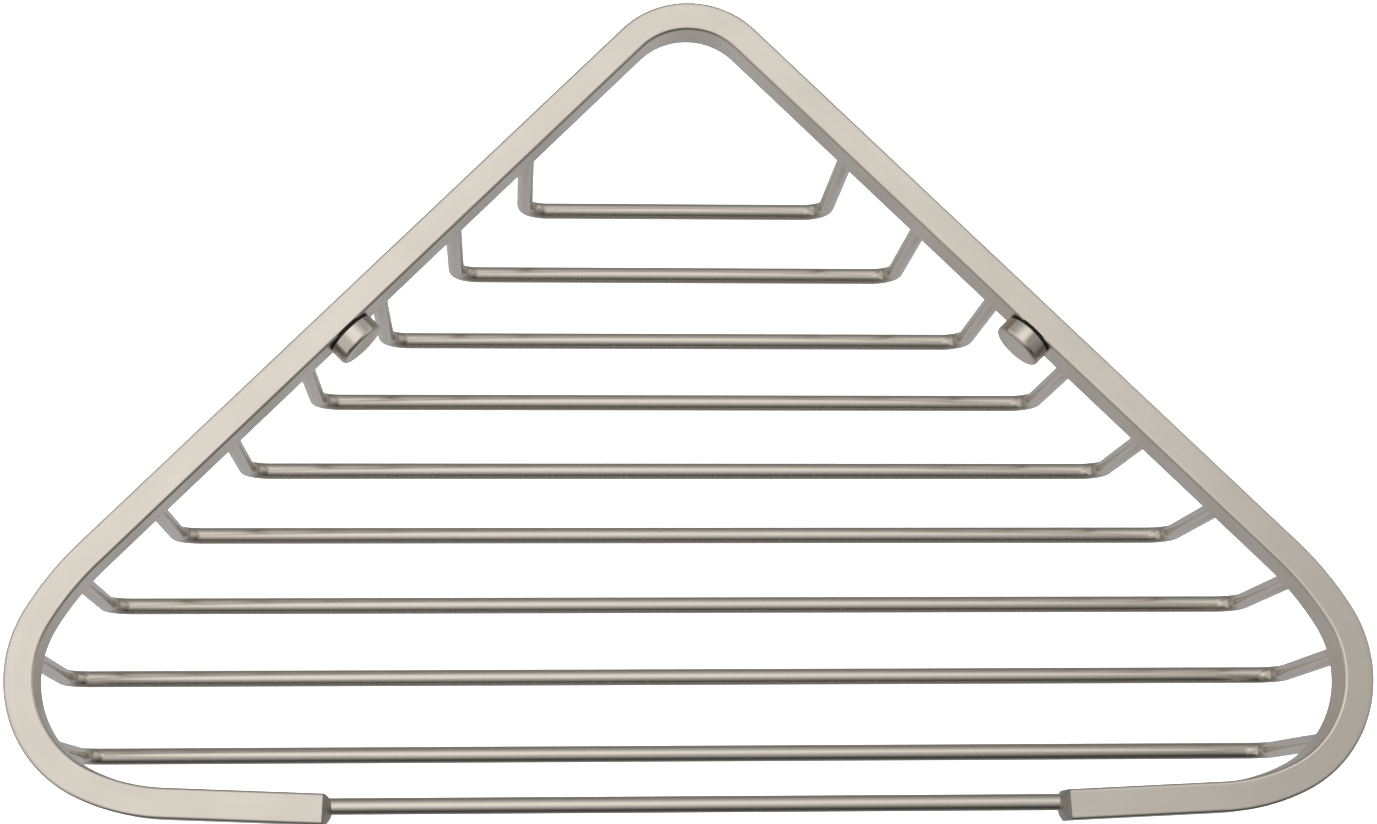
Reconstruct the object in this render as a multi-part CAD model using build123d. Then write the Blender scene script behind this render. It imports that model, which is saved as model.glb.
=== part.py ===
from build123d import *
import os
from math import cos, radians, sin, sqrt, tan

os.makedirs("parts", exist_ok=True)

# A triangular wire basket for the inside corner of two walls. A bent flat bar is the rim, nine
# wires hang under it as the basket, and a thin rod closes the gap at the front. Each leg of the
# rim is screwed to its wall through a hole, and a push-on cap hides the screw.
#
# Millimetres. The origin is the centre of the basket's footprint, on the plane that the wires
# rest on. +X is the basket's right, +Y points into the corner and +Z is up.

# Driving dimensions.
basket_width = 271.0
rim_height = 52.0

bar_width = 6.0
bar_height = 9.0
bar_edge_radius = 0.8
apex_outer_radius = 19.7
front_splay = 2.4  # degrees that each front stub leans forward towards its free end
front_gap = 142.8  # between the tips of the front stubs
end_dome_radius = 8.2  # each stub's free end is ground to a shallow dome

# Each front corner bends gently as it leaves the leg, tightly in its middle and gently again as
# it runs into the stub. The radii are on the bar's centre line.
lead_radius = 60.0
lead_angle = 15.0
corner_radius = 23.0
exit_radius = 40.0
exit_angle = 23.0

wire_diameter = 3.5
wire_bend_radius = 5.0  # on the wire's centre line
wire_inset = 0.6  # from the bar's centre line to a wire's weld, along X
first_weld = 30.6  # from the apex's outside edge to the first wire's welds
weld_steps = [15.2, 15.3, 14.8, 15.0, 14.5, 14.8, 15.5, 17.5]  # from each wire's welds to the next's
wire_leans = [-1.0, -0.7, -0.6, 0.2, -0.2, 0.0, -0.5, -0.6, 0.5]  # in Y, from the welds to the run
weld_radius = 2.2
weld_height = 1.0

rod_diameter = 3.3
rod_socket_depth = 6.0
rod_setback = 0.7  # from the middle of a stub's free end back to the rod

fixing_distance = 68.1  # from the apex's outside edge to a fixing, along Y

hub_radius = 3.2
hub_length = 5.2
screw_hole_radius = 2.2
flange_radius = 5.1
flange_thickness = 0.7
cup_radius = 4.5
cup_bore_radius = 3.7
cup_height = 2.3
cap_radius = 5.3
cap_height = 3.7
cap_roof = 0.9
cap_edge_radius = 0.8
cap_clearance = 0.03  # radial, between the cap and the cup that it pushes on to
cap_mouth_chamfer = 0.2


def away(angle):
    """The unit vector at this angle from +X, in degrees, seen from above."""
    return Vector(cos(radians(angle)), sin(radians(angle)))


# The rim's centre line, seen from above, first with the right corner's tightest arc centred on
# Y = 0. The legs run at 45 degrees to X, so they meet at a right angle, and each arc is tangent to
# what is beside it.
apex_radius = apex_outer_radius - bar_width / 2
lead_end = 45 - lead_angle
exit_start = front_splay - 90 + exit_angle
corner_centre = Vector((basket_width - bar_width) / 2 - corner_radius, 0)
lead_centre = corner_centre + away(lead_end) * (corner_radius - lead_radius)
exit_centre = corner_centre + away(exit_start) * (corner_radius - exit_radius)
leg_start = lead_centre + away(45) * lead_radius
leg_sum = leg_start.X + leg_start.Y  # x + y along the right leg's centre line
apex_centre = Vector(0, leg_sum - apex_radius * sqrt(2))
stub_start = exit_centre + away(front_splay - 90) * exit_radius
stub_end_y = stub_start.Y - (stub_start.X - front_gap / 2) * tan(radians(front_splay))
dome_depth = end_dome_radius - sqrt(end_dome_radius**2 - (bar_width / 2) ** 2)
front_y = stub_end_y - bar_width / 2 * cos(radians(front_splay))
front_y += dome_depth * sin(radians(front_splay))

# The same line, moved so that the footprint is centred on the origin.
basket_depth = apex_centre.Y + apex_outer_radius - front_y
apex_y = basket_depth / 2
shift = Vector(0, -basket_depth / 2 - front_y)
corner_centre += shift
lead_centre += shift
exit_centre += shift
apex_centre += shift
leg_start += shift
leg_sum += shift.Y
stub_end_y += shift.Y
bar_middle_z = rim_height - bar_height / 2
bar_underside_z = rim_height - bar_height


def weld_positions():
    """The Y of each basket wire's welds, from the apex to the front."""
    rows = [apex_y - first_weld]
    for step in weld_steps:
        rows.append(rows[-1] - step)
    return rows


def half_width(y):
    """Half the distance between the rim's two centre lines at this Y."""
    if y > leg_start.Y:
        return leg_sum - y
    centre, radius = corner_centre, corner_radius
    if y > (corner_centre + away(lead_end) * corner_radius).Y:
        centre, radius = lead_centre, lead_radius
    return centre.X + sqrt(radius**2 - (y - centre.Y) ** 2)


def rim_path():
    """The bar's centre line, from the right free end round the apex to the left free end."""
    lift = Vector(0, 0, bar_middle_z)
    corner_angle = 135 - front_splay - lead_angle - exit_angle
    run_out = CenterArc(exit_centre + lift, exit_radius, front_splay - 90, exit_angle)
    corner = CenterArc(corner_centre + lift, corner_radius, exit_start, corner_angle)
    run_in = CenterArc(lead_centre + lift, lead_radius, lead_end, lead_angle)
    apex = CenterArc(apex_centre + lift, apex_radius, 45, 90)
    stub = Line(Vector(front_gap / 2, stub_end_y, bar_middle_z), run_out @ 0)
    leg = Line(run_in @ 1, apex @ 0)
    right = [stub, run_out, corner, run_in, leg]
    left = [mirror(edge, about=Plane.YZ).edge() for edge in right]
    return Wire([*right, apex, *left])


def both_sides(piece):
    """The right-hand piece and its mirror image on the left."""
    return {"right": piece, "left": mirror(piece, about=Plane.YZ)}


def disc(radius, low, high):
    """A round blank along Z from low to high."""
    return Pos(0, 0, low) * Cylinder(radius, high - low, align=(Align.CENTER, Align.CENTER, Align.MIN))


# A fixing lies between the third and fourth wires. Its own Z axis starts on the inner face of the
# right leg and points into the basket.
fixing_y = apex_y - fixing_distance
inner_face = bar_width / 2 / sqrt(2)
fixing = Plane(
    origin=(leg_sum - fixing_y - inner_face, fixing_y - inner_face, bar_middle_z),
    x_dir=(0, 0, 1),
    z_dir=(-1, -1, 0),
)


def make_rim_bar():
    """The bent bar, with domed ends, a hole for each fixing and a socket at each end for the rod."""
    path = rim_path()
    start = Plane(origin=path @ 0, x_dir=(0, 0, 1), z_dir=path % 0)
    bar = sweep(start * RectangleRounded(bar_height, bar_width, bar_edge_radius), path=path)
    tip = start * Box(2 * bar_height, 2 * bar_height, bar_width)
    tip -= start * Pos(0, 0, end_dome_radius) * Sphere(end_dome_radius)
    for waste in both_sides(tip).values():
        bar -= waste
    for hole in both_sides(fixing * disc(hub_radius, -2 * bar_width, bar_width)).values():
        bar -= hole
    return bar - make_front_rod()


def make_front_rod():
    """The straight rod across the front, with an end sunk in each stub of the rim."""
    length = front_gap + 2 * rod_socket_depth
    place = Pos(0, stub_end_y + rod_setback, bar_middle_z)
    return place * Rot(0, 90, 0) * Cylinder(rod_diameter / 2, length)


def make_basket_wire(weld_y, lean):
    """One U-shaped wire, leaning a little, with a weld bead at each end under the rim."""
    x = half_width(weld_y) - wire_inset
    low = wire_diameter / 2
    run_y = weld_y + lean
    extra = 0.5  # the legs start this far above the rim's underside and are trimmed to it
    top_y = weld_y - lean * extra / (bar_underside_z - low)
    top = bar_underside_z + extra
    corners = [(-x, top_y, top), (-x, run_y, low), (x, run_y, low), (x, top_y, top)]
    path = FilletPolyline(*corners, radius=wire_bend_radius)
    wire = sweep(Plane(origin=path @ 0, z_dir=path % 0) * Circle(wire_diameter / 2), path=path)
    low_end = (Align.CENTER, Align.CENTER, Align.MIN)
    wire -= Pos(0, weld_y, bar_underside_z) * Box(2 * basket_width, 20, 20, align=low_end)
    bead = Cone(wire_diameter / 2 - 0.1, weld_radius, weld_height)
    for side in (-x, x):
        wire += Pos(side, weld_y, bar_underside_z - weld_height / 2) * bead
    return wire


def make_cap_collar():
    """The collar pressed in the leg: a hub in the hole, a flange on the face and a cup for the cap."""
    collar = disc(hub_radius, -hub_length, 0)
    collar += disc(flange_radius, 0, flange_thickness)
    collar += disc(cup_radius, flange_thickness, flange_thickness + cup_height)
    collar -= disc(cup_bore_radius, flange_thickness, flange_thickness + cup_height)
    collar -= disc(screw_hole_radius, -hub_length, flange_thickness)
    return collar


def make_screw_cap():
    """The round cap that pushes on to the collar's cup and hides the screw's head."""
    top = flange_thickness + cap_height
    blank = disc(cap_radius, flange_thickness, top)
    blank = fillet(blank.edges().group_by(Axis.Z)[-1], cap_edge_radius)
    cap = blank - disc(cup_radius + cap_clearance, flange_thickness, top - cap_roof)
    mouth = cap.edges().group_by(Axis.Z)[0].sort_by(SortBy.RADIUS)[0]
    return chamfer(mouth, cap_mouth_chamfer)


parts = {"rim_bar": make_rim_bar(), "front_rod": make_front_rod()}
for number, (weld_y, lean) in enumerate(zip(weld_positions(), wire_leans), start=1):
    parts[f"basket_wire_{number}"] = make_basket_wire(weld_y, lean)
for side, collar in both_sides(fixing * make_cap_collar()).items():
    parts[f"{side}_cap_collar"] = collar
for side, cap in both_sides(fixing * make_screw_cap()).items():
    parts[f"{side}_screw_cap"] = cap

for name, solid in parts.items():
    export_step(solid, f"parts/{name}.step")
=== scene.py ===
import math

import bmesh
import bpy
from mathutils import Matrix, Vector


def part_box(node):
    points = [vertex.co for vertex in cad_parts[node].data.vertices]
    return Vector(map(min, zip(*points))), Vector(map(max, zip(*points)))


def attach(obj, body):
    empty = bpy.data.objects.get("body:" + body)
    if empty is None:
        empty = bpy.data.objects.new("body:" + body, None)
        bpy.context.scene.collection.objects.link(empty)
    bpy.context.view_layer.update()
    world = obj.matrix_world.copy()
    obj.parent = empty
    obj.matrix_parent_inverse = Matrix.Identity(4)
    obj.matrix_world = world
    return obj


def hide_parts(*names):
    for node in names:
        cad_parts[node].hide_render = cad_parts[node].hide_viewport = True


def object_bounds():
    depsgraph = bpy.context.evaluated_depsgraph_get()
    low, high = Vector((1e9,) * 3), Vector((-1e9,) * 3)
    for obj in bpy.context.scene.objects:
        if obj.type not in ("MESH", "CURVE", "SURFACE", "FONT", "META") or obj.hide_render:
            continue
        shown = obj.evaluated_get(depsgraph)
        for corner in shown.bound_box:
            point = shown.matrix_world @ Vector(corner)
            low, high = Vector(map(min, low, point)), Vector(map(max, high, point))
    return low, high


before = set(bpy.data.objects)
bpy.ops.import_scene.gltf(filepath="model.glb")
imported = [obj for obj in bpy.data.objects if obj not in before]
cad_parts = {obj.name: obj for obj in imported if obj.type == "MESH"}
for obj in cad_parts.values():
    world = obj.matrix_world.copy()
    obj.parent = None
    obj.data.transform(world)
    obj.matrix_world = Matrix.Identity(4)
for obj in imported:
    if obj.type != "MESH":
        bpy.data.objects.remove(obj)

# A satin nickel corner shower basket. The rim, wires, rod, caps and collars are built here as fine
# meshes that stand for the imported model's parts. Metres; +X is the basket's right and +Y points
# into the wall corner.
cad_low, cad_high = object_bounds()

# Sizes that the frame's boxes don't give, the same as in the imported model.
BAR_WIDTH = 0.0060
BAR_EDGE = 0.00060
APEX_RADIUS = 0.0197  # to the bar's outside
LEAD_RADIUS, LEAD_ANGLE = 0.060, math.radians(15)
CORNER_RADIUS = 0.023
EXIT_RADIUS, EXIT_ANGLE = 0.040, math.radians(23)
SPLAY = math.radians(2.4)
END_DOME = 0.0082
SOCKET_DEPTH = 0.006
ROD_RADIUS = 0.00165
WIRE_RADIUS = 0.00175
BEND_RADIUS = 0.0050
WELD_RADIUS = 0.0022
WELD_HEIGHT = 0.0009
WIRE_LEANS = (-1.0, -0.7, -0.6, 0.2, -0.2, 0.0, -0.5, -0.6, 0.5)  # millimetres in Y, from weld to run
HUB_RADIUS, HUB_LENGTH = 0.0032, 0.0052
SCREW_RADIUS = 0.0022
FLANGE_RADIUS, FLANGE_THICKNESS = 0.0051, 0.0007
CUP_RADIUS, CUP_BORE, CUP_HEIGHT = 0.0045, 0.0037, 0.0023
CAP_RADIUS, CAP_HEIGHT, CAP_ROOF, CAP_EDGE = 0.0053, 0.0037, 0.0009, 0.0008
CAP_BORE = 0.00453

QUARTER = math.radians(45)
RIGHT = Vector((1, 0, 0))
BACK = Vector((0, 1, 0))
UP = Vector((0, 0, 1))


# ---------------------------------------------------------------- materials

def new_material(name, colour, metallic, roughness, anisotropy=0.0):
    """A Principled material with its plain values set on the shader itself."""
    mat = bpy.data.materials.new(name)
    mat.use_nodes = True
    shader = mat.node_tree.nodes["Principled BSDF"]
    shader.inputs["Base Color"].default_value = (*colour, 1)
    shader.inputs["Metallic"].default_value = metallic
    shader.inputs["Roughness"].default_value = roughness
    shader.inputs["Anisotropic"].default_value = anisotropy
    return mat, mat.node_tree, shader


def node(tree, kind, **values):
    made = tree.nodes.new(kind)
    for key, value in values.items():
        setattr(made, key, value)
    return made


def maths(tree, operation, a, b=None, c=None):
    """A Math node whose inputs are sockets or numbers; returns its output."""
    made = node(tree, "ShaderNodeMath", operation=operation)
    for slot, value in enumerate((a, b, c)):
        if isinstance(value, (int, float)):
            made.inputs[slot].default_value = value
        elif value is not None:
            tree.links.new(value, made.inputs[slot])
    return made.outputs[0]


def remap(tree, value, low, high, to_low, to_high, smooth=False):
    made = node(tree, "ShaderNodeMapRange")
    if smooth:
        made.interpolation_type = "SMOOTHSTEP"
    made.inputs["From Min"].default_value = low
    made.inputs["From Max"].default_value = high
    made.inputs["To Min"].default_value = to_low
    made.inputs["To Max"].default_value = to_high
    tree.links.new(value, made.inputs["Value"])
    return made.outputs["Result"]


def stretched_noise(tree, source, scale, detail=3.0, rough=0.55):
    """Noise read at source, with a scale of its own on each axis, in lines per metre."""
    mapping = node(tree, "ShaderNodeMapping")
    mapping.inputs["Scale"].default_value = scale
    tree.links.new(source, mapping.inputs["Vector"])
    tex = node(tree, "ShaderNodeTexNoise")
    tex.inputs["Scale"].default_value = 1.0
    tex.inputs["Detail"].default_value = detail
    tex.inputs["Roughness"].default_value = rough
    tree.links.new(mapping.outputs["Vector"], tex.inputs["Vector"])
    return tex.outputs["Fac"]


def shaded(tree, value, colour, spread):
    """A colour that goes from darker to lighter by spread as value goes from 0 to 1."""
    ramp = node(tree, "ShaderNodeValToRGB")
    low, high = ramp.color_ramp.elements
    low.color = (*[c * (1 - spread) for c in colour], 1)
    high.color = (*[min(c * (1 + spread), 1.0) for c in colour], 1)
    tree.links.new(value, ramp.inputs["Fac"])
    return ramp.outputs["Color"]


def add_bump(tree, shader, height, strength, distance):
    bump = node(tree, "ShaderNodeBump")
    bump.inputs["Strength"].default_value = strength
    bump.inputs["Distance"].default_value = distance
    tree.links.new(height, bump.inputs["Height"])
    tree.links.new(bump.outputs["Normal"], shader.inputs["Normal"])


def brushed_nickel(name, colour, roughness, lines, spread, strength, anisotropy=0.3, even=False):
    """Satin nickel plate with fine brush marks. lines gives the marks per metre along and across;
    an even finish has none of the broad marks and clouding."""
    mat, tree, shader = new_material(name, colour, 1.0, roughness, anisotropy)
    uv = node(tree, "ShaderNodeUVMap", uv_map="brush").outputs["UV"]
    place = node(tree, "ShaderNodeTexCoord").outputs["Object"]
    along, across = lines
    marks = remap(tree, stretched_noise(tree, uv, (along, across, 1), 4.0, 0.6), 0.25, 0.75, 0, 1)
    patchy = marks
    if not even:
        streaks = stretched_noise(tree, uv, (along * 0.4, across * 0.12, 1), 2.0)
        broad = remap(tree, streaks, 0.25, 0.75, 0, 1)
        cloud = remap(tree, stretched_noise(tree, place, (70, 70, 70), 3.0), 0.3, 0.7, 0, 1)
        marks = maths(tree, "MULTIPLY_ADD", marks, 0.6, maths(tree, "MULTIPLY", broad, 0.4))
        patchy = maths(tree, "MULTIPLY_ADD", marks, 0.6, maths(tree, "MULTIPLY", cloud, 0.4))
    tree.links.new(shaded(tree, patchy, colour, spread), shader.inputs["Base Color"])
    dull, keen = roughness + 0.035, roughness - 0.035
    tree.links.new(remap(tree, patchy, 0, 1, dull, keen), shader.inputs["Roughness"])
    add_bump(tree, shader, marks, strength, 0.00002)
    return mat


def cut_nickel(name, colour, roughness):
    """Plate for the bar's end faces: darker and duller than the bar, with a close, uneven grain."""
    mat, tree, shader = new_material(name, colour, 1.0, roughness)
    place = node(tree, "ShaderNodeTexCoord").outputs["Object"]
    grain = remap(tree, stretched_noise(tree, place, (900, 2600, 2600), 4.0, 0.65), 0.25, 0.75, 0, 1)
    tree.links.new(shaded(tree, grain, colour, 0.22), shader.inputs["Base Color"])
    tree.links.new(remap(tree, grain, 0, 1, roughness + 0.08, roughness - 0.08), shader.inputs["Roughness"])
    add_bump(tree, shader, grain, 0.5, 0.00004)
    return mat


def black_nylon():
    """Moulded black plastic with a fine, dull grain; its near-black is partly painted shade for the gap behind each
    cap.
    """
    mat, tree, shader = new_material("black_nylon", (0.006, 0.005, 0.0045), 0.0, 0.7)
    place = node(tree, "ShaderNodeTexCoord").outputs["Object"]
    grain = stretched_noise(tree, place, (5200, 5200, 5200), 2.0, 0.5)
    tree.links.new(remap(tree, grain, 0.3, 0.7, 0.62, 0.8), shader.inputs["Roughness"])
    shader.inputs["Specular IOR Level"].default_value = 0.25
    add_bump(tree, shader, grain, 0.25, 0.00004)
    return mat


# ---------------------------------------------------------------- mesh tools

def make_piece(name, mesh, body, stands_for, sharp=35.0):
    """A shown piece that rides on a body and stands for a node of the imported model."""
    mesh.shade_smooth()
    mesh.set_sharp_from_angle(angle=math.radians(sharp))
    piece = bpy.data.objects.new(name, mesh)
    bpy.context.scene.collection.objects.link(piece)
    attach(piece, body)
    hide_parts(stands_for)
    return piece


def to_mesh(name, bm, materials):
    mesh = bpy.data.meshes.new(name)
    bmesh.ops.recalc_face_normals(bm, faces=bm.faces)
    bm.to_mesh(mesh)
    bm.free()
    for mat in materials:
        mesh.materials.append(mat)
    return mesh


def brush_layer(bm):
    """The UV layer that the brush marks follow: U along them and V across, in metres."""
    return bm.loops.layers.uv.get("brush") or bm.loops.layers.uv.new("brush")


def on_line(start, end, gap):
    """Evenly spaced (point, direction) pairs from start up to, but not with, end."""
    count = max(1, round((end - start).length / gap))
    way = (end - start).normalized()
    return [(start.lerp(end, i / count), way) for i in range(count)]


def on_arc(centre, radius, start, turn, across, up, steps):
    """(point, direction) pairs round an arc in the plane of across and up, without its last point."""
    pairs = []
    for i in range(steps):
        a = start + turn * i / steps
        out = across * math.cos(a) + up * math.sin(a)
        way = (up * math.cos(a) - across * math.sin(a)) * math.copysign(1, turn)
        pairs.append((centre + out * radius, way))
    return pairs


def close_end(bm, ring, point, way, side, up, dome, material):
    """Closes a swept ring. With a dome radius, the face rises to a shallow dome whose tip is point."""
    uv = brush_layer(bm)
    spots = [((v.co - point).dot(side), (v.co - point).dot(up)) for v in ring]
    rings, pairs = [ring], [spots]
    if dome:
        for scale in (0.98, 0.9, 0.75, 0.6, 0.45, 0.3, 0.15):
            scaled = [(a * scale, b * scale) for a, b in spots]
            rings.append([bm.verts.new(on_dome(point, way, side, up, dome, a, b)) for a, b in scaled])
            pairs.append(scaled)
    count = len(ring)
    faces = []
    for i in range(len(rings) - 1):
        for j in range(count):
            spots = ((i, j), (i, (j + 1) % count), (i + 1, (j + 1) % count), (i + 1, j))
            quad = bm.faces.new([rings[m][n] for m, n in spots])
            faces.append((quad, [pairs[m][n] for m, n in spots]))
    faces.append((bm.faces.new(rings[-1]), pairs[-1]))
    for face, corners in faces:
        face.material_index = material
        for loop, (a, b) in zip(face.loops, corners):
            loop[uv].uv = (b, a)


def on_dome(tip, way, side, up, radius, a, b):
    """The point of a dome at this distance to the side and up from its tip, which points along way."""
    sag = radius - math.sqrt(radius * radius - a * a - b * b)
    return tip + side * a + up * b - way * sag


def sweep(bm, stations, outline, binormal, end_material=0, change=None, dome=None):
    """Sweeps a closed outline of (side, up) pairs along the stations and closes both ends. change
    may move a pair: it is given the distances from the start and to the end, and the pair. With a
    dome radius, the first and last points are the tips of domed ends."""
    uv = brush_layer(bm)
    along = [0.0]
    for (a, _), (b, _) in zip(stations, stations[1:]):
        along.append(along[-1] + (b - a).length)
    facing = {0: -1, len(stations) - 1: 1}
    rings = []
    for i, (s, (point, way)) in enumerate(zip(along, stations)):
        side = binormal.cross(way).normalized()
        pairs = [change(s, along[-1] - s, a, b) if change else (a, b) for a, b in outline]
        if dome and i in facing:
            ring = [on_dome(point, way * facing[i], side, binormal, dome, a, b) for a, b in pairs]
        else:
            ring = [point + side * a + binormal * b for a, b in pairs]
        rings.append([bm.verts.new(spot) for spot in ring])
    count = len(outline)
    around = [0.0]
    for i in range(count):
        around.append(around[-1] + (Vector(outline[(i + 1) % count]) - Vector(outline[i])).length)
    for i in range(len(rings) - 1):
        for j in range(count):
            k = (j + 1) % count
            face = bm.faces.new((rings[i][j], rings[i + 1][j], rings[i + 1][k], rings[i][k]))
            spots = ((i, j), (i + 1, j), (i + 1, j + 1), (i, j + 1))
            for loop, (m, n) in zip(face.loops, spots):
                loop[uv].uv = (along[m], around[n])
    for i, sign in facing.items():
        point, way = stations[i]
        side = binormal.cross(way).normalized()
        close_end(bm, rings[i], point, way * sign, side, binormal, dome, end_material)


def circle(radius, count=40):
    turns = [2 * math.pi * i / count for i in range(count)]
    return [(radius * math.cos(a), radius * math.sin(a)) for a in turns]


def rounded_rectangle(width, height, radius, steps=6):
    """Corner points of a bar's section, with its edges rounded. A point beside each rounding keeps
    the flat faces' shading flat."""
    pairs = []
    near = 0.00004
    for corner, (sx, sy) in enumerate(((1, 1), (-1, 1), (-1, -1), (1, -1))):
        arc = []
        for i in range(steps + 1):
            a = math.pi / 2 * (corner + i / steps)
            arc.append((sx * (width / 2 - radius) + radius * math.cos(a),
                        sy * (height / 2 - radius) + radius * math.sin(a)))
        first, last = math.pi / 2 * corner, math.pi / 2 * (corner + 1)
        pairs.append((arc[0][0] + near * math.sin(first), arc[0][1] - near * math.cos(first)))
        pairs += arc
        pairs.append((arc[-1][0] - near * math.sin(last), arc[-1][1] + near * math.cos(last)))
    return pairs


def lathe(bm, profile, place, count=96):
    """Turns a profile of (radius, height) pairs about place's Z axis; brush marks run round it."""
    uv = brush_layer(bm)
    rings = []
    for radius, height in profile:
        turns = [2 * math.pi * i / count for i in range(count)] if radius > 0 else [0.0]
        rings.append([bm.verts.new(place @ Vector((radius * math.cos(a), radius * math.sin(a), height)))
                      for a in turns])
    along = [0.0]
    for (r0, h0), (r1, h1) in zip(profile, profile[1:]):
        along.append(along[-1] + math.hypot(r1 - r0, h1 - h0))
    for i in range(len(rings) - 1):
        a, b = rings[i], rings[i + 1]
        reach = max(profile[i][0], profile[i + 1][0])
        for j in range(count):
            k = (j + 1) % count
            u0, u1 = (2 * math.pi * reach * m / count for m in (j, j + 1))
            low, high = along[i], along[i + 1]
            if len(a) == 1:
                verts, spots = (a[0], b[k], b[j]), ((u0, low), (u1, high), (u0, high))
            elif len(b) == 1:
                verts, spots = (a[j], a[k], b[0]), ((u0, low), (u1, low), (u0, high))
            else:
                verts, spots = (a[j], a[k], b[k], b[j]), ((u0, low), (u1, low), (u1, high), (u0, high))
            face = bm.faces.new(verts)
            for loop, spot in zip(face.loops, spots):
                loop[uv].uv = spot


def cut(mesh, cutter):
    """The mesh with the cutter's volume taken out of it."""
    scene = bpy.context.scene.collection
    blank = bpy.data.objects.new("blank", mesh)
    tool = bpy.data.objects.new("tool", cutter)
    scene.objects.link(blank)
    scene.objects.link(tool)
    boolean = blank.modifiers.new("cut", "BOOLEAN")
    boolean.operation = "DIFFERENCE"
    boolean.solver = "EXACT"
    boolean.object = tool
    bpy.context.view_layer.update()
    made = bpy.data.meshes.new_from_object(blank.evaluated_get(bpy.context.evaluated_depsgraph_get()))
    made.name = mesh.name
    bpy.data.objects.remove(blank)
    bpy.data.objects.remove(tool)
    return made


# ---------------------------------------------------------------- pieces

def fixing_place(side):
    """One fixing's frame: its origin is on the leg's inner face, and its Z points inward."""
    low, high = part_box(f"{side_name(side)}_screw_cap")
    inward = Vector((-side, -1, 0)).normalized()
    origin = (low + high) / 2 - inward * (CAP_HEIGHT / 2 + FLANGE_THICKNESS)
    return Matrix.Translation(origin) @ inward.to_track_quat("Z", "Y").to_matrix().to_4x4()


def side_name(side):
    return "right" if side > 0 else "left"


def rim_stations():
    """The bar's centre line from the left free end round the apex to the right free end."""
    low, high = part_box("rim_bar")
    z = (low.z + high.z) / 2
    half_bar = BAR_WIDTH / 2
    apex_radius = APEX_RADIUS - half_bar

    def away(angle):
        return RIGHT * math.cos(angle) + BACK * math.sin(angle)

    def mirrored(point):
        return Vector((-point.x, point.y, point.z))

    lead_end = QUARTER - LEAD_ANGLE
    exit_start = SPLAY - 2 * QUARTER + EXIT_ANGLE
    apex = Vector((0, high.y - APEX_RADIUS, z))
    leg_sum = apex.y + apex_radius * math.sqrt(2)
    corner = Vector((high.x - half_bar - CORNER_RADIUS, 0, z))
    lead = corner + away(lead_end) * (CORNER_RADIUS - LEAD_RADIUS)
    leg_start = lead + away(QUARTER) * LEAD_RADIUS
    shift = BACK * (leg_sum - leg_start.x - leg_start.y)
    corner, lead, leg_start = corner + shift, lead + shift, leg_start + shift
    exit_centre = corner + away(exit_start) * (CORNER_RADIUS - EXIT_RADIUS)
    stub_start = exit_centre + away(SPLAY - 2 * QUARTER) * EXIT_RADIUS
    free_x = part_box("front_rod")[1].x - SOCKET_DEPTH
    free_end = Vector((free_x, stub_start.y - (stub_start.x - free_x) * math.tan(SPLAY), z))
    apex_side = apex + away(QUARTER) * apex_radius
    middle_turn = lead_end - exit_start

    def left_arc(centre, radius, start, turn, steps):
        return on_arc(mirrored(centre), radius, math.pi - start, -turn, RIGHT, BACK, steps)

    def right_arc(centre, radius, start, turn, steps):
        return on_arc(centre, radius, start, -turn, RIGHT, BACK, steps)

    gap = 0.004
    stub_way = (free_end - stub_start).normalized()
    before_tip = free_end - stub_way * 0.0022  # further back than the dome reaches
    out = [(mirrored(free_end), (mirrored(stub_start) - mirrored(free_end)).normalized())]
    out += on_line(mirrored(before_tip), mirrored(stub_start), 0.002)
    out += left_arc(exit_centre, EXIT_RADIUS, SPLAY - 2 * QUARTER, EXIT_ANGLE, 14)
    out += left_arc(corner, CORNER_RADIUS, exit_start, middle_turn, 52)
    out += left_arc(lead, LEAD_RADIUS, lead_end, LEAD_ANGLE, 12)
    out += on_line(mirrored(leg_start), mirrored(apex_side), gap)
    out += right_arc(apex, apex_radius, 3 * QUARTER, 2 * QUARTER, 44)
    out += on_line(apex_side, leg_start, gap)
    out += right_arc(lead, LEAD_RADIUS, QUARTER, LEAD_ANGLE, 12)
    out += right_arc(corner, CORNER_RADIUS, lead_end, middle_turn, 52)
    out += right_arc(exit_centre, EXIT_RADIUS, exit_start, EXIT_ANGLE, 14)
    out += on_line(stub_start, before_tip, 0.002)
    out.append((before_tip, stub_way))
    out.append((free_end, stub_way))
    return out


def make_rim(bar, cut_end):
    """The bent bar, its edges eased, its free ends domed and a hole drilled for each collar."""
    low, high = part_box("rim_bar")
    height = high.z - low.z
    bm = bmesh.new()
    sweep(bm, rim_stations(), rounded_rectangle(BAR_WIDTH, height, BAR_EDGE), UP, 1, dome=END_DOME)
    rim = to_mesh("rim", bm, [bar, cut_end])
    outside = -BAR_WIDTH
    past, ease = 0.001, 0.0002  # the drill runs past both faces, and breaks the outer hole's edge
    for side in (-1, 1):
        drill = bmesh.new()
        profile = [(0, outside - past), (HUB_RADIUS + past + ease, outside - past),
                   (HUB_RADIUS, outside + ease), (HUB_RADIUS, past), (0, past)]
        lathe(drill, profile, fixing_place(side))
        rim = cut(rim, to_mesh("drill", drill, [bar]))
    return make_piece("rim", rim, "basket", "rim_bar")


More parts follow.
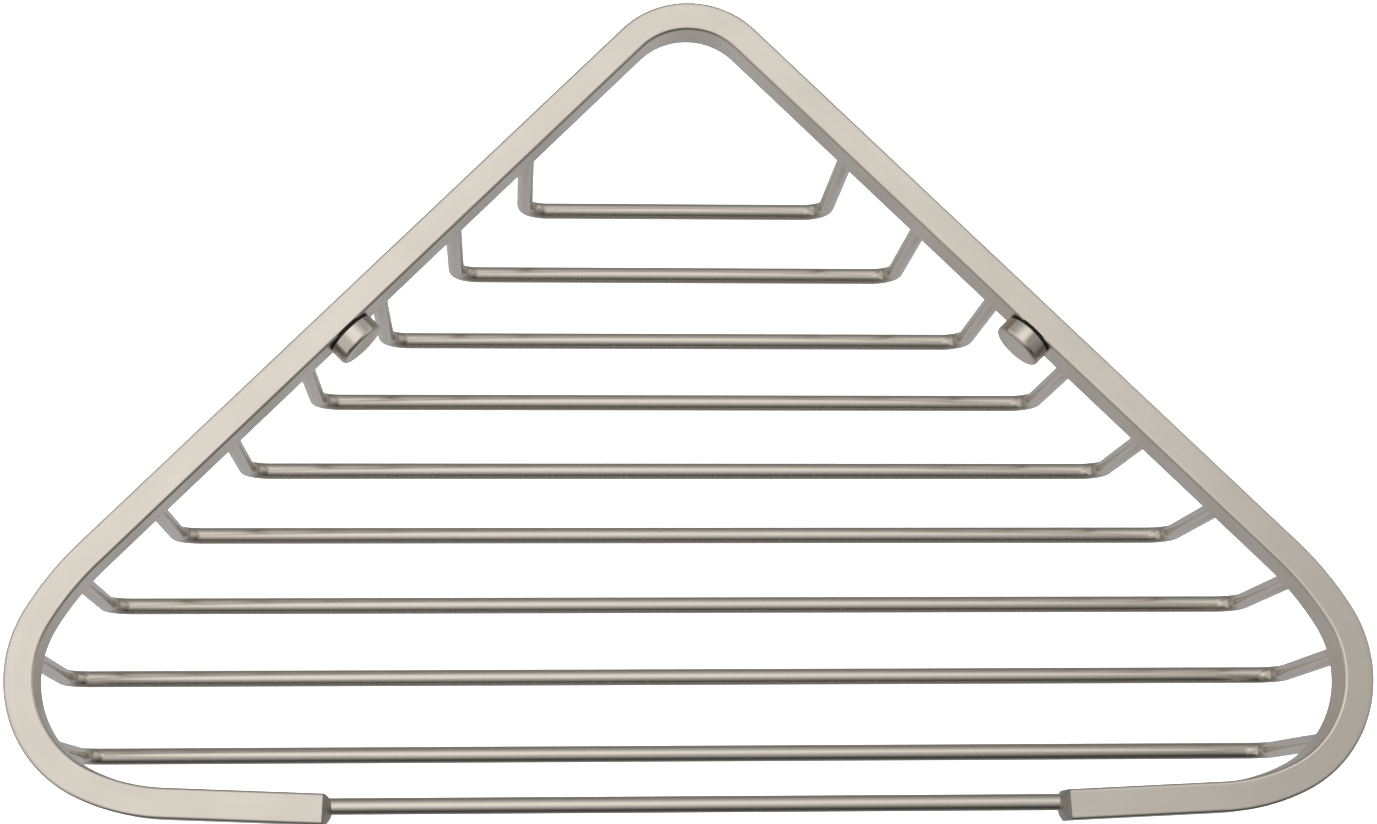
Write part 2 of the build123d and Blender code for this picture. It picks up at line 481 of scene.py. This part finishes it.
def wire_stations(half, y, top):
    """An upright U from the left weld down, across and up to the right weld."""
    low, bend = WIRE_RADIUS, BEND_RADIUS
    left, right = Vector((-half + bend, y, low + bend)), Vector((half - bend, y, low + bend))
    under = top - 2 * WELD_HEIGHT
    out = on_line(Vector((-half, y, top)), Vector((-half, y, under)), 0.0002)
    out += on_line(Vector((-half, y, under)), Vector((-half, y, low + bend)), 0.003)
    out += on_arc(left, bend, math.pi, math.pi / 2, RIGHT, UP, 26)
    out += on_line(Vector((-half + bend, y, low)), Vector((half - bend, y, low)), 0.004)
    out += on_arc(right, bend, -math.pi / 2, math.pi / 2, RIGHT, UP, 26)
    out += on_line(Vector((half, y, low + bend)), Vector((half, y, under)), 0.003)
    out += on_line(Vector((half, y, under)), Vector((half, y, top)), 0.0002)
    out.append((Vector((half, y, top)), UP.copy()))
    return out


def make_basket_wire(name, wire):
    """A bent wire that swells into its two welds and keeps the bender's mark inside each bend."""
    low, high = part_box(name)
    number = int(name.split("_")[-1])
    lean = WIRE_LEANS[number - 1] / 1000
    half = high.x - WELD_RADIUS
    weld_y = high.y - WELD_RADIUS if lean < 0 else low.y + WELD_RADIUS
    bend_middle = high.z - WIRE_RADIUS - BEND_RADIUS + BEND_RADIUS * QUARTER

    def shape(from_start, to_end, side, up):
        near = min(from_start, to_end)
        weld = max(0.0, 1 - near / WELD_HEIGHT)
        grow = 1 + (WELD_RADIUS / WIRE_RADIUS - 1) * 0.96 * weld**1.6
        off = (near - bend_middle) / 0.0008
        around = math.atan2(up, side)
        dent = 0.00008 * math.exp(-off * off) * max(0.0, -math.cos(around)) ** 8
        return side * grow + (dent if side < 0 else 0.0), up * grow

    bm = bmesh.new()
    sweep(bm, wire_stations(half, weld_y + lean, high.z), circle(WIRE_RADIUS), BACK, 0, shape)
    for vert in bm.verts:
        vert.co.y -= lean * (vert.co.z - low.z - WIRE_RADIUS) / (high.z - low.z - WIRE_RADIUS)
    uv = brush_layer(bm)
    for face in bm.faces:
        for loop in face.loops:
            loop[uv].uv += Vector((0.7 * number, 0.13 * number))
    mesh = to_mesh(name, bm, [wire])
    return make_piece(name.replace("basket_", ""), mesh, "basket", name)


def make_rod(wire):
    """The straight front rod, its ends out of sight in the stubs."""
    low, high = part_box("front_rod")
    y, z = (low.y + high.y) / 2, (low.z + high.z) / 2
    stations = on_line(Vector((low.x, y, z)), Vector((high.x, y, z)), 0.004)
    stations.append((Vector((high.x, y, z)), RIGHT))
    bm = bmesh.new()
    sweep(bm, stations, circle(ROD_RADIUS), UP)
    return make_piece("rod", to_mesh("rod", bm, [wire]), "basket", "front_rod")


def make_cap(side, turned):
    """A round cap with an eased rim and an open back."""
    base, top = FLANGE_THICKNESS, FLANGE_THICKNESS + CAP_HEIGHT
    profile = [(0, top - CAP_ROOF), (CAP_BORE, top - CAP_ROOF), (CAP_BORE, base + 0.0002),
               (CAP_BORE + 0.0002, base), (CAP_RADIUS - 0.00015, base), (CAP_RADIUS, base + 0.00015)]
    for i in range(11):
        a = math.pi / 2 * i / 10
        profile.append((CAP_RADIUS - CAP_EDGE * (1 - math.cos(a)), top - CAP_EDGE * (1 - math.sin(a))))
    profile += [(0.0030, top), (0.0015, top), (0, top)]
    bm = bmesh.new()
    lathe(bm, profile, fixing_place(side))
    prefix = side_name(side)
    mesh = to_mesh(f"{prefix}_cap", bm, [turned])
    return make_piece(f"{prefix}_cap", mesh, f"{prefix}_cap", f"{prefix}_screw_cap")


def make_collar(side, nylon_and_gap_shade):
    """The black collar: its hub in the leg, its flange on the face and the cup that holds the cap."""
    # The flange's near-black is partly painted shade: it darkens the narrow gap between the leg's face and the cap.
    flange, cup = FLANGE_THICKNESS, FLANGE_THICKNESS + CUP_HEIGHT
    ease = 0.00012
    profile = [(SCREW_RADIUS, -HUB_LENGTH), (HUB_RADIUS - ease, -HUB_LENGTH),
               (HUB_RADIUS, -HUB_LENGTH + ease), (HUB_RADIUS, 0), (FLANGE_RADIUS, 0),
               (FLANGE_RADIUS, flange - ease), (FLANGE_RADIUS - ease, flange), (CUP_RADIUS, flange),
               (CUP_RADIUS, cup - ease), (CUP_RADIUS - ease, cup), (CUP_BORE + ease, cup),
               (CUP_BORE, cup - ease), (CUP_BORE, flange), (SCREW_RADIUS, flange), (SCREW_RADIUS, -HUB_LENGTH)]
    bm = bmesh.new()
    lathe(bm, profile, fixing_place(side))
    bmesh.ops.remove_doubles(bm, verts=bm.verts, dist=1e-7)
    prefix = side_name(side)
    mesh = to_mesh(f"{prefix}_collar", bm, [nylon_and_gap_shade])
    return make_piece(f"{prefix}_collar", mesh, "basket", f"{prefix}_cap_collar")


# ---------------------------------------------------------------- stage

def stage_piece(name, bm, colour, glow):
    """A pale, softly glowing surface that the metal doesn't mirror and that casts no shadow."""
    mat, _, shader = new_material(name, colour, 0.0, 0.8)
    shader.inputs["Specular IOR Level"].default_value = 0.0
    shader.inputs["Emission Color"].default_value = (*colour, 1)
    shader.inputs["Emission Strength"].default_value = glow
    mesh = to_mesh(name, bm, [mat])
    mesh.shade_smooth()
    piece = bpy.data.objects.new(name, mesh)
    bpy.context.scene.collection.objects.link(piece)
    piece.visible_glossy = False
    piece.visible_shadow = False
    return piece


def make_stage():
    """A wide round floor under the basket and a pale drum far round it."""
    floor = bmesh.new()
    bmesh.ops.create_circle(floor, cap_ends=True, radius=6.0, segments=96)
    stage_piece("floor", floor, (0.9, 0.9, 0.9), 0.9).location.z = cad_low.z
    drum = bmesh.new()
    bmesh.ops.create_cone(drum, cap_ends=False, radius1=5.9, radius2=5.9, depth=12.0, segments=96)
    stage_piece("backdrop", drum, (0.9, 0.9, 0.9), 0.9)


def grey_ramp(tree, value, stops):
    """A smooth run of greys over value, from (value, grey) pairs that rise from 0 to 1."""
    ramp = node(tree, "ShaderNodeValToRGB")
    ramp.color_ramp.interpolation = "B_SPLINE"
    elements = ramp.color_ramp.elements
    while len(elements) < len(stops):
        elements.new(0.5)
    for element, (spot, grey) in zip(elements, stops):
        element.position = spot
        element.color = (*grey, 1) if isinstance(grey, tuple) else (grey, grey, grey, 1)
    tree.links.new(value, ramp.inputs["Fac"])
    return ramp.outputs["Color"]


def blend(tree, kind, factor, a, b):
    """A colour mix of a and b, each a socket or a plain colour."""
    mix = node(tree, "ShaderNodeMix", data_type="RGBA", blend_type=kind)
    tree.links.new(factor, mix.inputs["Factor"])
    for socket, value in ((mix.inputs[6], a), (mix.inputs[7], b)):
        if isinstance(value, tuple):
            socket.default_value = value
        else:
            tree.links.new(value, socket)
    return mix.outputs[2]


def make_world():
    """A studio all round: bright above and behind, dark where the room opens in front, a pale table
    below and grey walls far out to both sides. Its overhead light fades towards the front right."""
    world = bpy.data.worlds.new("studio")
    bpy.context.scene.world = world
    world.use_nodes = True
    tree = world.node_tree
    way = node(tree, "ShaderNodeSeparateXYZ")
    tree.links.new(node(tree, "ShaderNodeTexCoord").outputs["Generated"], way.inputs[0])
    x, y, z = way.outputs
    lean = maths(tree, "ARCTAN2", maths(tree, "MULTIPLY", y, -1.0), z)
    turn = remap(tree, lean, -math.pi, math.pi, 0, 1)

    def at(degrees):
        return (degrees + 180) / 360

    table, dim_table = (0.52, 0.52, 0.545), (0.35, 0.35, 0.36)
    stops = ((-180, table), (-130, 0.24), (-109, 0.20), (-87, 0.27), (-69, 0.41), (-52, 0.57), (-37, 0.73),
             (-23, 1.0), (-8, 0.91), (8, 0.91), (20, 0.76), (35, 0.46), (50, 0.28), (65, 0.10), (80, 0.045),
             (97, 0.07), (119, 0.20), (142, dim_table), (180, table))
    bands = grey_ramp(tree, turn, [(at(degrees), grey) for degrees, grey in stops])
    across = maths(tree, "SUBTRACT", x, remap(tree, y, 0, 0.35, 0, 0.21))
    side = grey_ramp(tree, remap(tree, across, -1, 1, 0, 1),
                     [(0.0, 0.60), (0.15, 0.80), (0.30, 0.95), (0.42, 1.0), (0.48, 1.0), (0.51, 0.92), (0.54, 0.87),
                      (0.58, 0.86), (0.605, 0.86), (0.622, 0.70), (0.638, 0.36), (0.66, 0.26), (0.72, 0.32),
                      (1.0, 0.34)])
    over = remap(tree, z, -0.2, 0.25, 0, 1, smooth=True)
    faded = blend(tree, "MULTIPLY", over, bands, side)
    right_wall = grey_ramp(tree, remap(tree, y, -1, 1, 0, 1),
                           [(0.0, 0.14), (0.25, 0.16), (0.5, 0.5), (0.75, 0.66), (1.0, 0.66)])
    walls = blend(tree, "MIX", remap(tree, x, -0.1, 0.1, 0, 1), (0.66, 0.64, 0.62, 1), right_wall)
    far_out = remap(tree, maths(tree, "ABSOLUTE", x), 0.42, 0.62, 0, 1, smooth=True)
    walled = blend(tree, "MIX", maths(tree, "MULTIPLY", far_out, over), faded, walls)
    tree.links.new(walled, tree.nodes["Background"].inputs["Color"])


def make_lights():
    """One broad soft light overhead, to the left and behind."""
    data = bpy.data.lights.new("overhead", "AREA")
    data.shape = "RECTANGLE"
    data.size, data.size_y = 1.2, 1.2
    data.energy = 0.6
    light = bpy.data.objects.new("overhead", data)
    light.location = (-0.3, 0.25, 1.4)
    light.rotation_euler = (-light.location).to_track_quat("-Z", "Y").to_euler()
    bpy.context.scene.collection.objects.link(light)


def make_camera():
    """The camera stands almost straight above the basket's front, a little to its left."""
    data = bpy.data.cameras.new("camera")
    data.lens = 65.38
    data.sensor_width = 36.0
    data.shift_x = 0.0402
    data.shift_y = -0.0672
    data.clip_start = 0.01
    camera = bpy.data.objects.new("camera", data)
    camera.location = (-0.03745, -0.09959, 0.54646)
    turn = Vector((math.radians(13.15), math.radians(-2.86), math.radians(-0.13)))
    camera.rotation_mode = "QUATERNION"
    camera.rotation_quaternion = Matrix.Rotation(turn.length, 3, turn.normalized()).to_quaternion()
    bpy.context.scene.collection.objects.link(camera)
    bpy.context.scene.camera = camera


def main():
    nickel = (0.738, 0.684, 0.604)
    bar = brushed_nickel("nickel_bar", nickel, 0.30, (36, 3200), 0.06, 0.35)
    wire = brushed_nickel("nickel_wire", nickel, 0.25, (120, 9000), 0.02, 0.02, even=True)
    turned = brushed_nickel("nickel_turned", nickel, 0.24, (90, 5200), 0.05, 0.25)
    cut_end = cut_nickel("nickel_cut_end", (0.46, 0.435, 0.40), 0.42)
    # Black nylon for the collars; their near-black flange is partly painted shade for the gap behind each cap.
    nylon_and_gap_shade = black_nylon()
    make_rim(bar, cut_end)
    make_rod(wire)
    for name in sorted(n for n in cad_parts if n.startswith("basket_wire")):
        make_basket_wire(name, wire)
    for side in (-1, 1):
        make_cap(side, turned)
        make_collar(side, nylon_and_gap_shade)
    make_stage()
    make_world()
    make_lights()
    make_camera()
    bpy.context.scene.view_settings.view_transform = "Standard"


main()
